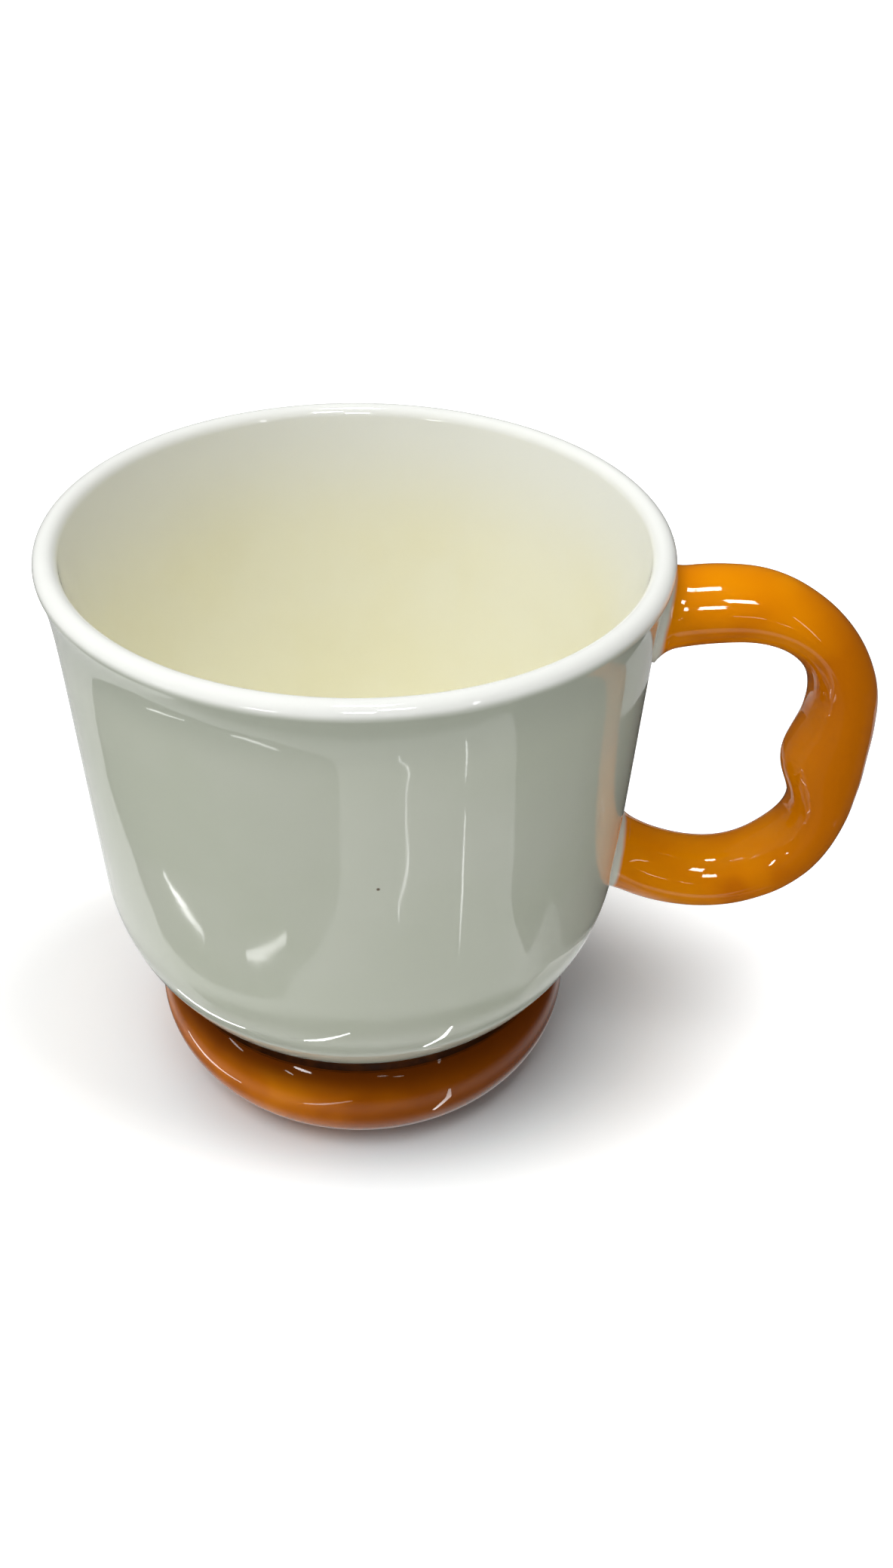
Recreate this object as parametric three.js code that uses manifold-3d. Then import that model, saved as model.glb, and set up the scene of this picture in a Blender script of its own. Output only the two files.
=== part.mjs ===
// Footed mug: a round-bottomed bowl set on a fat ring foot, with an ear-shaped handle on its side.
// The bowl, the foot and the handle are cast separately and joined with slip before firing.
// Millimetres, +Z up. The mug stands on z = 0 and the handle points along +X.

import * as THREE from 'three';
import { mergeVertices } from 'three/addons/utils/BufferGeometryUtils.js';
import Module from 'manifold-3d';

const wasm = await Module();
wasm.setup();

// Bowl
const MUG_HEIGHT = 106.8;          // table to the top of the lip
const LIP_RADIUS = 50;             // widest point of the lip
const LIP_THICKNESS = 3.8;         // the lip is a half-round of this thickness
const LIP_JOIN_ANGLE = 20;         // degrees below level where the outside runs into the lip's round
const LIP_INNER_LEAN = 6;          // degrees that the inside leans outwards where it meets the lip
const FLARE_DEPTH = 20;            // the wall starts to flare this far below the top
const FLARE_REACH = 6;             // length over which the flare turns into the lip
const WALL_LEAN = 3;               // degrees that the wall leans outwards
const WALL_THICKNESS = 4.2;
const BELLY_RADIUS = 46;           // outer radius where the wall leaves the rounded bottom
const BOTTOM_ROUND = 34;           // outer radius of the rounded bottom
const BASE_HEIGHT = 13;            // underside of the bowl above the table
const BASE_THICKNESS = 5.5;

// Ring foot
const FOOT_RADIUS = 38.6;          // widest point of the foot
const FOOT_SWELL = 15.3;           // radius of the foot's round section
const FOOT_FLAT_DEPTH = 1.5;       // how much of the round is ground off to stand on
const STANDING_WIDTH = 4.2;        // width of the flat that touches the table
const BORE_EDGE_ROUND = 1.6;       // round between the flat and the recess inside the foot

// Handle, measured along its middle line
const HANDLE_DROP = 10.7;          // top arm below the top of the lip
const HANDLE_SPAN = 56.5;          // from the top arm to the bottom arm
const HANDLE_STANDOFF = 34.9;      // upright part of the handle beyond the belly of the bowl
const HANDLE_CORNER = 19.3;        // radius of the two corners
const UPPER_ARM_SWEEP = 44;        // radius of the gentle curve from the upper corner to the wall
const LOWER_ARM_SWEEP = 29;        // and from the lower corner to the wall
const HANDLE_THICKNESS = 12.5;     // in the plane of the handle
const HANDLE_WIDTH = 14;           // across the plane of the handle
const UPPER_GROOVE = 2.8;          // thinner in the middle of the upper corner, for the first finger
const UPPER_GROOVE_LENGTH = 21;    // on each side of the groove's deepest place
const LOWER_GROOVE = 1.5;          // thinner again in the lower corner, for the second finger
const LOWER_GROOVE_LENGTH = 11.4;  // on each side of the groove's deepest place
const LOWER_GROOVE_SHIFT = 5.4;    // deepest place beyond the start of the lower corner
const RIDGE_HEIGHT = 2;            // ridge on the inside, between the two fingers
const RIDGE_LENGTH = 9.3;          // on each side of the ridge's crest
const RIDGE_DROP = 0.7;            // crest below the middle of the upright part
const UPPER_ROOT_FLARE = 1.6;      // the upper end swells by this much on every side, at the wall
const LOWER_ROOT_FLARE = 0.3;      // and the lower end by this much
const ROOT_FLARE_LENGTH = 4;       // length of that swelling
const COLLAR_LENGTH = 1.8;         // slip worked round each end of the handle

// Joints between the pieces
const CLEARANCE = 0.3;             // kept between a piece and what it sits against
const SLIP_THICKNESS = 0.8;        // layer of slip between the bowl and the foot

// Fineness of the facets
const TURN_STEPS = 60;             // around a turned piece
const BOTTOM_STEPS = 10;           // along the rounded bottom
const WALL_STEPS = 9;              // up the wall
const LIP_STEPS = 7;               // over the lip
const FOOT_STEPS = 11;             // round the foot's section
const SEAT_STEPS = 5;              // along the seat between the bowl and the foot
const EDGE_STEPS = 3;              // round a small edge
const SECTION_STEPS = 20;          // round the handle
const HANDLE_STEPS = 40;           // along the handle
const COLLAR_STEPS = 7;            // along a collar's blank
const ROOT_SEARCH_STEPS = 40;      // halvings used to find where an arm meets the wall

// Blanks that the handle and its collars are cut from
const ROOT_EMBED = 5;              // the handle's blank starts this far inside the wall
const COLLAR_REACH = 7;            // a collar's blank goes on this far beyond its end

// Colours and gloss of the glazes
const CELADON = new THREE.MeshStandardMaterial({ color: 0xb4b8ab, roughness: 0.18, metalness: 0 });
const AMBER = new THREE.MeshStandardMaterial({ color: 0xc4760c, roughness: 0.12, metalness: 0 });
const DARK_AMBER = new THREE.MeshStandardMaterial({ color: 0x7d470c, roughness: 0.16, metalness: 0 });
const BROWN_SLIP = new THREE.MeshStandardMaterial({ color: 0x3b230d, roughness: 0.3, metalness: 0 });
const PALE_COLLAR = new THREE.MeshStandardMaterial({ color: 0xc2c2b8, roughness: 0.2, metalness: 0 });

const { degToRad } = THREE.MathUtils;
const DOWN = -Math.PI / 2;
const UP = Math.PI / 2;

// Places worked out from the sizes above
const lipRound = LIP_THICKNESS / 2;
const lipCentre = new THREE.Vector2(LIP_RADIUS - lipRound, MUG_HEIGHT - lipRound);
const bottomCentre = new THREE.Vector2(BELLY_RADIUS - BOTTOM_ROUND, BASE_HEIGHT + BOTTOM_ROUND);
const seatRound = BOTTOM_ROUND + SLIP_THICKNESS + 2 * CLEARANCE;
const swellCentre = new THREE.Vector2(FOOT_RADIUS - FOOT_SWELL, FOOT_SWELL - FOOT_FLAT_DEPTH);
const flatOuterRadius = swellCentre.x + Math.sqrt(FOOT_SWELL ** 2 - swellCentre.y ** 2);
const boreRadius = flatOuterRadius - STANDING_WIDTH - BORE_EDGE_ROUND;
const columnX = BELLY_RADIUS + HANDLE_STANDOFF;
const cornerX = columnX - HANDLE_CORNER;
const topArmZ = MUG_HEIGHT - HANDLE_DROP;
const bottomArmZ = topArmZ - HANDLE_SPAN;

/** Point at an angle on a circle. */
function onCircle(centre, radius, angle) {
  return new THREE.Vector2(centre.x + radius * Math.cos(angle), centre.y + radius * Math.sin(angle));
}

/** Points along an arc, both ends included. */
function arc(centre, radius, from, to, steps) {
  const step = (to - from) / steps;
  return Array.from({ length: steps + 1 }, (_, i) => onCircle(centre, radius, from + step * i));
}

/** Angle of a point as seen from a circle's centre. */
function angleFrom(centre, point) {
  return Math.atan2(point.y - centre.y, point.x - centre.x);
}

/** The crossing of two circles that lies further from the mug's axis. */
function outerCrossing(centreA, radiusA, centreB, radiusB) {
  const line = centreB.clone().sub(centreA);
  const distance = line.length();
  line.normalize();
  const along = (radiusA ** 2 - radiusB ** 2 + distance ** 2) / (2 * distance);
  const across = Math.sqrt(radiusA ** 2 - along ** 2);
  const middle = centreA.clone().addScaledVector(line, along);
  const side = new THREE.Vector2(-line.y, line.x).multiplyScalar(across);
  const crossings = [middle.clone().add(side), middle.clone().sub(side)];
  return crossings.sort((p, q) => q.x - p.x)[0];
}

/** Curve of one face of the wall, from the rounded bottom up to the lip's round. */
function wallCurve(start, joinAngle, turn) {
  const lean = degToRad(WALL_LEAN);
  const rise = MUG_HEIGHT - FLARE_DEPTH - start.y;
  const neck = new THREE.Vector2(start.x + rise * Math.tan(lean), start.y + rise);
  const join = onCircle(lipCentre, lipRound, joinAngle);
  const tangent = new THREE.Vector2(-Math.sin(joinAngle), Math.cos(joinAngle)).multiplyScalar(turn);
  const approach = join.clone().addScaledVector(tangent, -FLARE_REACH);
  return new THREE.CubicBezierCurve(start, neck, approach, join);
}

/** Outside of the bowl from the middle of its underside up to the lip, widened by a clearance. */
function bowlOutside(clearance) {
  const joinAngle = degToRad(-LIP_JOIN_ANGLE);
  const bottom = arc(bottomCentre, BOTTOM_ROUND, DOWN, degToRad(-WALL_LEAN), BOTTOM_STEPS);
  const wall = wallCurve(bottom.at(-1), joinAngle, 1).getPoints(WALL_STEPS);
  const lip = arc(lipCentre, lipRound, joinAngle, UP, LIP_STEPS);
  const skin = [...bottom, ...wall.slice(1), ...lip.slice(1)];
  return skin.map((point) => new THREE.Vector2(point.x + clearance, point.y));
}

/** Inside of the bowl from the lip down to the rounding of its floor. */
function bowlInside() {
  const joinAngle = degToRad(180 - LIP_INNER_LEAN);
  const floorRound = BOTTOM_ROUND - WALL_THICKNESS;
  const floorCentre = new THREE.Vector2(bottomCentre.x, BASE_HEIGHT + BASE_THICKNESS + floorRound);
  const lip = arc(lipCentre, lipRound, UP, joinAngle, LIP_STEPS);
  const floor = arc(floorCentre, floorRound, degToRad(-WALL_LEAN), DOWN, BOTTOM_STEPS);
  const wall = wallCurve(floor[0], joinAngle, -1).getPoints(WALL_STEPS).reverse();
  return [...lip.slice(1), ...wall.slice(1), ...floor.slice(1)];
}

/** Outer radius of the bowl at a height, on the straight runs between its profile points. */
function wallRadius(height) {
  const skin = bowlOutside(0);
  const above = skin.findIndex((point) => point.y >= height);
  const [low, high] = [skin[above - 1], skin[above]];
  return low.x + (high.x - low.x) * (height - low.y) / (high.y - low.y);
}

/** Turns a profile of radius and height round the mug's axis. */
function turned(profile) {
  return new THREE.LatheGeometry(profile, TURN_STEPS).rotateX(UP);
}

/** Closed profile that starts and ends on the axis. */
function closedOnAxis(skin) {
  return [new THREE.Vector2(0, skin[0].y), ...skin, new THREE.Vector2(0, skin.at(-1).y)];
}

/** Closed profile that ends where it starts. */
function closedRing(points) {
  return [...points, points[0].clone()];
}

function bowlGeometry() {
  return turned(closedOnAxis([...bowlOutside(0), ...bowlInside()]));
}

// The seat runs along the rounded bottom, from the foot's shoulder to its recess
const shoulder = outerCrossing(bottomCentre, seatRound, swellCentre, FOOT_SWELL);
const seatOuterAngle = angleFrom(bottomCentre, shoulder);
const seatInnerAngle = -Math.acos((boreRadius - bottomCentre.x) / seatRound);

function footRingGeometry() {
  const flatOuter = new THREE.Vector2(flatOuterRadius, 0);
  const edgeCentre = new THREE.Vector2(boreRadius + BORE_EDGE_ROUND, BORE_EDGE_ROUND);
  const swellFrom = angleFrom(swellCentre, flatOuter);
  const swellTo = angleFrom(swellCentre, shoulder);
  const swell = arc(swellCentre, FOOT_SWELL, swellFrom, swellTo, FOOT_STEPS);
  const seat = arc(bottomCentre, seatRound, seatOuterAngle, seatInnerAngle, SEAT_STEPS);
  const edge = arc(edgeCentre, BORE_EDGE_ROUND, Math.PI, Math.PI - DOWN, EDGE_STEPS);
  return turned(closedRing([...swell, ...seat.slice(1), ...edge]));
}

function footSlipGeometry() {
  const inner = BOTTOM_ROUND + CLEARANCE;
  const outer = inner + SLIP_THICKNESS;
  const under = arc(bottomCentre, outer, seatInnerAngle, seatOuterAngle, SEAT_STEPS);
  const over = arc(bottomCentre, inner, seatOuterAngle, seatInnerAngle, SEAT_STEPS);
  return turned(closedRing([...under, ...over]));
}

/** Turn, from its level end, at which an arm of the handle reaches the wall. */
function armTurn(armZ, sweep, bend) {
  let near = 0;
  let far = UP;
  for (let i = 0; i < ROOT_SEARCH_STEPS; i += 1) {
    const turn = (near + far) / 2;
    const x = cornerX - sweep * Math.sin(turn);
    const z = armZ + bend * sweep * (1 - Math.cos(turn));
    if (x > wallRadius(z)) {
      near = turn;
    } else {
      far = turn;
    }
  }
  return near;
}

// The middle line starts inside the upper wall and ends inside the lower wall
const upperTurn = armTurn(topArmZ, UPPER_ARM_SWEEP, -1) + ROOT_EMBED / UPPER_ARM_SWEEP;
const lowerTurn = armTurn(bottomArmZ, LOWER_ARM_SWEEP, 1) + ROOT_EMBED / LOWER_ARM_SWEEP;
const cornerLength = HANDLE_CORNER * UP;
const uprightLength = HANDLE_SPAN - 2 * HANDLE_CORNER;
const upperCornerAt = UPPER_ARM_SWEEP * upperTurn;
const uprightAt = upperCornerAt + cornerLength;
const lowerCornerAt = uprightAt + uprightLength;
const upperGrooveAt = upperCornerAt + cornerLength / 2;
const lowerGrooveAt = lowerCornerAt + LOWER_GROOVE_SHIFT;
const ridgeAt = uprightAt + uprightLength / 2 + RIDGE_DROP;
const collarBlank = ROOT_EMBED + CLEARANCE + COLLAR_LENGTH + COLLAR_REACH;

/** Part of the handle's middle line that turns clockwise about a point beside the corners. */
function bend(centreZ, radius, from, to) {
  return new THREE.EllipseCurve(cornerX, centreZ, radius, radius, from, to, true);
}

/** Middle line of the handle in its own plane. */
function handleLine() {
  const upperCorner = bend(topArmZ - HANDLE_CORNER, HANDLE_CORNER, UP, 0);
  const lowerCorner = bend(bottomArmZ + HANDLE_CORNER, HANDLE_CORNER, 0, DOWN);
  const line = new THREE.CurvePath();
  line.add(bend(topArmZ - UPPER_ARM_SWEEP, UPPER_ARM_SWEEP, UP + upperTurn, UP));
  line.add(upperCorner);
  line.add(new THREE.LineCurve(upperCorner.getPoint(1), lowerCorner.getPoint(0)));
  line.add(lowerCorner);
  line.add(bend(bottomArmZ + LOWER_ARM_SWEEP, LOWER_ARM_SWEEP, DOWN, DOWN - lowerTurn));
  return line;
}

const handlePath = handleLine();
const handleLength = handlePath.getLength();

/** Smooth swelling: one at the middle, nothing at either end. */
function swelling(distance, halfLength) {
  const share = Math.min(Math.abs(distance) / halfLength, 1);
  return Math.cos(share * UP) ** 2;
}

/** Section of the handle at a length along its middle line, as points round it. */
function handleSection(length) {
  const middle = handlePath.getPoint(length / handleLength);
  const tangent = handlePath.getTangent(length / handleLength);
  const outward = new THREE.Vector2(-tangent.y, tangent.x);
  const fromWall = Math.min(length, handleLength - length) - ROOT_EMBED;
  const rootFlare = length < handleLength / 2 ? UPPER_ROOT_FLARE : LOWER_ROOT_FLARE;
  const flare = rootFlare * Math.max(0, 1 - Math.max(0, fromWall) / ROOT_FLARE_LENGTH) ** 2;
  const upperGroove = UPPER_GROOVE * swelling(length - upperGrooveAt, UPPER_GROOVE_LENGTH);
  const lowerGroove = LOWER_GROOVE * swelling(length - lowerGrooveAt, LOWER_GROOVE_LENGTH);
  const half = (HANDLE_THICKNESS - upperGroove - lowerGroove) / 2 + flare;
  const ridge = RIDGE_HEIGHT * swelling(length - ridgeAt, RIDGE_LENGTH);
  return Array.from({ length: SECTION_STEPS }, (_, i) => {
    const turn = 2 * Math.PI * i / SECTION_STEPS;
    const reach = Math.cos(turn) * (Math.cos(turn) > 0 ? half : half + ridge);
    const across = Math.sin(turn) * (HANDLE_WIDTH / 2 + flare);
    return new THREE.Vector3(middle.x + reach * outward.x, across, middle.y + reach * outward.y);
  });
}

/** Skin through a row of rings with the same number of points, closed by a flat cap at each end. */
function loft(rings) {
  const count = rings[0].length;
  const centres = [rings[0], rings.at(-1)].map((ring) => (
    ring.reduce((sum, point) => sum.add(point), new THREE.Vector3()).divideScalar(count)
  ));
  const points = [...rings.flat(), ...centres];
  const firstCentre = rings.length * count;
  const lastRing = (rings.length - 1) * count;
  const triangles = [];
  for (let i = 0; i < count; i += 1) {
    const next = (i + 1) % count;
    for (let ring = 0; ring < lastRing; ring += count) {
      triangles.push(ring + i, ring + count + i, ring + next);
      triangles.push(ring + next, ring + count + i, ring + count + next);
    }
    triangles.push(firstCentre, i, next);
    triangles.push(firstCentre + 1, lastRing + next, lastRing + i);
  }
  const geometry = new THREE.BufferGeometry().setFromPoints(points);
  geometry.setIndex(triangles);
  return geometry;
}

/** Blank of the handle between two lengths along its middle line, with its ends inside the wall. */
function handleBlank(from, to, steps) {
  const step = (to - from) / steps;
  return loft(Array.from({ length: steps + 1 }, (_, i) => handleSection(from + step * i)));
}

/** Solid for cutting, from a closed geometry. */
function solidFrom(geometry) {
  const bare = geometry.clone();
  bare.deleteAttribute('normal');
  bare.deleteAttribute('uv');
  const merged = mergeVertices(bare);
  const index = merged.index.array;
  const corners = [];
  for (let i = 0; i < index.length; i += 3) {
    const [a, b, c] = index.slice(i, i + 3);
    if (a !== b && b !== c && c !== a) {
      corners.push(a, b, c);
    }
  }
  const vertProperties = new Float32Array(merged.attributes.position.array);
  const triVerts = new Uint32Array(corners);
  return new wasm.Manifold(new wasm.Mesh({ numProp: 3, vertProperties, triVerts }));
}

/** Geometry of a cut solid. */
function geometryFrom(solid) {
  const mesh = solid.getMesh();
  const geometry = new THREE.BufferGeometry();
  geometry.setAttribute('position', new THREE.BufferAttribute(mesh.vertProperties, 3));
  geometry.setIndex(new THREE.BufferAttribute(mesh.triVerts, 1));
  geometry.computeVertexNormals();
  return geometry;
}

/** Solid of the whole bowl, widened by a distance from its wall. */
function wallSolid(distance) {
  return solidFrom(turned(closedOnAxis(bowlOutside(distance))));
}

// Each collar lies between two skins round the wall, and the handle starts beyond the outer one
const collarInner = wallSolid(CLEARANCE);
const collarOuter = wallSolid(CLEARANCE + COLLAR_LENGTH);
const handleInner = wallSolid(CLEARANCE + COLLAR_LENGTH + CLEARANCE);

function handleGeometry() {
  return geometryFrom(solidFrom(handleBlank(0, handleLength, HANDLE_STEPS)).subtract(handleInner));
}

function collarGeometry(from, to) {
  const blank = solidFrom(handleBlank(from, to, COLLAR_STEPS));
  return geometryFrom(blank.intersect(collarOuter).subtract(collarInner));
}

const pieces = [
  ['bowl', bowlGeometry(), CELADON],
  ['foot_ring', footRingGeometry(), DARK_AMBER],
  ['foot_slip_ring', footSlipGeometry(), BROWN_SLIP],
  ['handle', handleGeometry(), AMBER],
  ['upper_handle_collar', collarGeometry(0, collarBlank), PALE_COLLAR],
  ['lower_handle_collar', collarGeometry(handleLength - collarBlank, handleLength), PALE_COLLAR],
];

// The origin is on the table, under the middle of the whole mug with its handle
const mug = new THREE.Group();
for (const [name, geometry, material] of pieces) {
  const mesh = new THREE.Mesh(geometry, material);
  mesh.name = name;
  mug.add(mesh);
}
const box = new THREE.Box3().setFromObject(mug);
mug.position.x = -(box.min.x + box.max.x) / 2;

export default mug;
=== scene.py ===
"""Looks of a footed mug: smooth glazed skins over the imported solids, studio light and camera.

Lengths are in metres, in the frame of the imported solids: +Z up, handle along +X, table at z = 0.
"""

import logging
import math
from dataclasses import dataclass, field
from enum import Enum
from typing import Any

import bmesh
import bpy
import numpy as np
from mathutils import Matrix, Vector


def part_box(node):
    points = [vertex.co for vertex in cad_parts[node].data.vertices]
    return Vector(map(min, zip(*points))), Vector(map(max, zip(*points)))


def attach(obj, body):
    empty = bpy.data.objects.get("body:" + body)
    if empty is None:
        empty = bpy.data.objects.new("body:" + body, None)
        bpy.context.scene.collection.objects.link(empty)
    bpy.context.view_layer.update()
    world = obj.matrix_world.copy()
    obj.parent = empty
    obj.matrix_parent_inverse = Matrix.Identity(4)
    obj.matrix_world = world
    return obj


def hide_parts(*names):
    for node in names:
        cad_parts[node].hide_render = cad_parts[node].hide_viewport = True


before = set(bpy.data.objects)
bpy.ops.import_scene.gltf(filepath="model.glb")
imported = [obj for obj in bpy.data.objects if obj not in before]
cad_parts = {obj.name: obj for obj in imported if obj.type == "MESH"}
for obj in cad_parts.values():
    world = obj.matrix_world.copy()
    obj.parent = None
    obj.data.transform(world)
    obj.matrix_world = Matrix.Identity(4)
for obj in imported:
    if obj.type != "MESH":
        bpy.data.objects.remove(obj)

LOG = logging.getLogger("mug")
MM = 0.001
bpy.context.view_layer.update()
BODY = "root"
FROM_LIP = "from_lip"
FROM_WALL = "from_wall"
LEVEL = "level"
SEAM_MERGE = 0.001 * MM
SHARP_EDGE = math.radians(55)
QUARTER = math.pi / 2
SHEET_HALF = 0.5
NOISE_MIDDLE = 0.5
MIX_INPUTS = (0, 6, 7)
MIX_COLOUR = 2

Colour = tuple[float, float, float, float]
Span = tuple[float, float]
Point = tuple[float, float]
Point3 = tuple[float, float, float]
Socket = bpy.types.NodeSocket
Piece = bpy.types.Object
Mesh = bpy.types.Mesh
Material = bpy.types.Material


def tone(red: int, green: int, blue: int) -> Colour:
    """Turns a display colour into the linear colour that a shader takes.

    Args:
        red: Red from 0 to 255.
        green: Green from 0 to 255.
        blue: Blue from 0 to 255.

    Returns:
        Linear colour with full cover.
    """
    def linear(level: int) -> float:
        """Linear share of one display level."""
        share = level / 255
        return share / 12.92 if share <= 0.04045 else ((share + 0.055) / 1.055) ** 2.4

    return linear(red), linear(green), linear(blue), 1.0


def placed(name: str, data: Any) -> Piece:
    """Adds an object to the scene.

    Args:
        name: Name of the object.
        data: Its mesh, lamp or camera.

    Returns:
        The object.
    """
    thing = bpy.data.objects.new(name, data)
    bpy.context.scene.collection.objects.link(thing)
    return thing


class Root(Enum):
    """The two ends of the handle, by the node that joins each to the wall."""

    UPPER = "upper_handle_collar"
    LOWER = "lower_handle_collar"


class Cut(Enum):
    """What a swept piece keeps of its blank."""

    BEYOND = "beyond the slip"
    WITHIN = "within the slip"


class Nodes:
    """Adds nodes to one tree and joins their sockets."""

    def __init__(self, tree: bpy.types.NodeTree) -> None:
        """Starts with an empty tree.

        Args:
            tree: Tree that the nodes go into.
        """
        self.tree = tree
        tree.nodes.clear()

    def feed(self, socket: Socket, value: Any) -> None:
        """Links a socket to another, or sets its own value.

        Args:
            socket: Input that is fed.
            value: Output socket to link, or a plain value.
        """
        if isinstance(value, Socket):
            self.tree.links.new(value, socket)
        else:
            socket.default_value = value

    def add(self, kind: str, inputs: dict[Any, Any] | None = None, **settings: Any) -> bpy.types.Node:
        """Adds a node.

        Args:
            kind: Type name of the node.
            inputs: Input names or places, and what feeds them.
            **settings: Properties of the node.

        Returns:
            The new node.
        """
        node = self.tree.nodes.new(kind)
        for name, value in settings.items():
            setattr(node, name, value)
        for key, value in (inputs or {}).items():
            self.feed(node.inputs[key], value)
        return node

    def out(self, kind: str, inputs: dict[Any, Any] | None = None, **settings: Any) -> Socket:
        """Adds a node, and gives its first output."""
        return self.add(kind, inputs, **settings).outputs[0]

    def math(self, operation: str, *values: Any) -> Socket:
        """Adds a sum on numbers or sockets, in order."""
        return self.out("ShaderNodeMath", dict(enumerate(values)), operation=operation)

    def vector(self, operation: str, *values: Any) -> Socket:
        """Adds a sum on vectors or sockets, in order."""
        return self.out("ShaderNodeVectorMath", dict(enumerate(values)), operation=operation)

    def scaled(self, vector: Any, factor: Any) -> Socket:
        """Multiplies a vector by a number."""
        inputs = {"Vector": vector, "Scale": factor}
        return self.out("ShaderNodeVectorMath", inputs, operation="SCALE")

    def parts(self, vector: Any) -> Any:
        """Sockets of a vector's three parts, named X, Y and Z."""
        return self.add("ShaderNodeSeparateXYZ", {0: vector}).outputs

    def dot(self, first: Any, second: Any) -> Socket:
        """Dot product of two vectors."""
        inputs = {0: first, 1: second}
        return self.add("ShaderNodeVectorMath", inputs, operation="DOT_PRODUCT").outputs["Value"]

    def distance(self, place: Any, middle: Point3, stretch: Point3 = (1.0, 1.0, 1.0)) -> Socket:
        """Distance from a point, with each axis stretched by a factor."""
        aside = self.vector("MULTIPLY", self.vector("SUBTRACT", place, middle), stretch)
        return self.add("ShaderNodeVectorMath", {0: aside}, operation="LENGTH").outputs["Value"]

    def ramp(self, value: Any, low: float, high: float, start: float = 0.0, end: float = 1.0) -> Socket:
        """Maps low to start and high to end with a smooth step, held at both ends."""
        inputs = {"Value": value, "From Min": low, "From Max": high, "To Min": start, "To Max": end}
        return self.out("ShaderNodeMapRange", inputs, interpolation_type="SMOOTHSTEP")

    def fall(self, value: Any, low: float, high: float) -> Socket:
        """Smooth step from 1 at low to 0 at high."""
        return self.ramp(value, low, high, 1.0, 0.0)

    def blend(self, factor: Any, first: Any, second: Any) -> Socket:
        """Mixes two colours.

        Args:
            factor: Share of the second colour.
            first: Colour or socket.
            second: Colour or socket.

        Returns:
            Socket of the mixed colour.
        """
        node = self.add("ShaderNodeMix", data_type="RGBA")
        for place, value in zip(MIX_INPUTS, (factor, first, second)):
            self.feed(node.inputs[place], value)
        return node.outputs[MIX_COLOUR]

    def noise(self, place: Any, feature: float, detail: float = 2.0) -> Socket:
        """Smooth noise about 0.5, by the size of its patches and its number of finer layers."""
        inputs = {"Vector": place, "Scale": 1 / feature, "Detail": detail}
        return self.out("ShaderNodeTexNoise", inputs)

    def stored(self, name: str) -> Socket:
        """Number that a mesh stores on its points, for a material."""
        return self.add("ShaderNodeAttribute", attribute_name=name).outputs["Fac"]

    def glow(self, strength: Any) -> Socket:
        """Shader that shines."""
        return self.out("ShaderNodeEmission", {"Strength": strength})

    def show(self, surface: Any) -> None:
        """Ends a material with its surface."""
        self.add("ShaderNodeOutputMaterial", {"Surface": surface})


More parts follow.
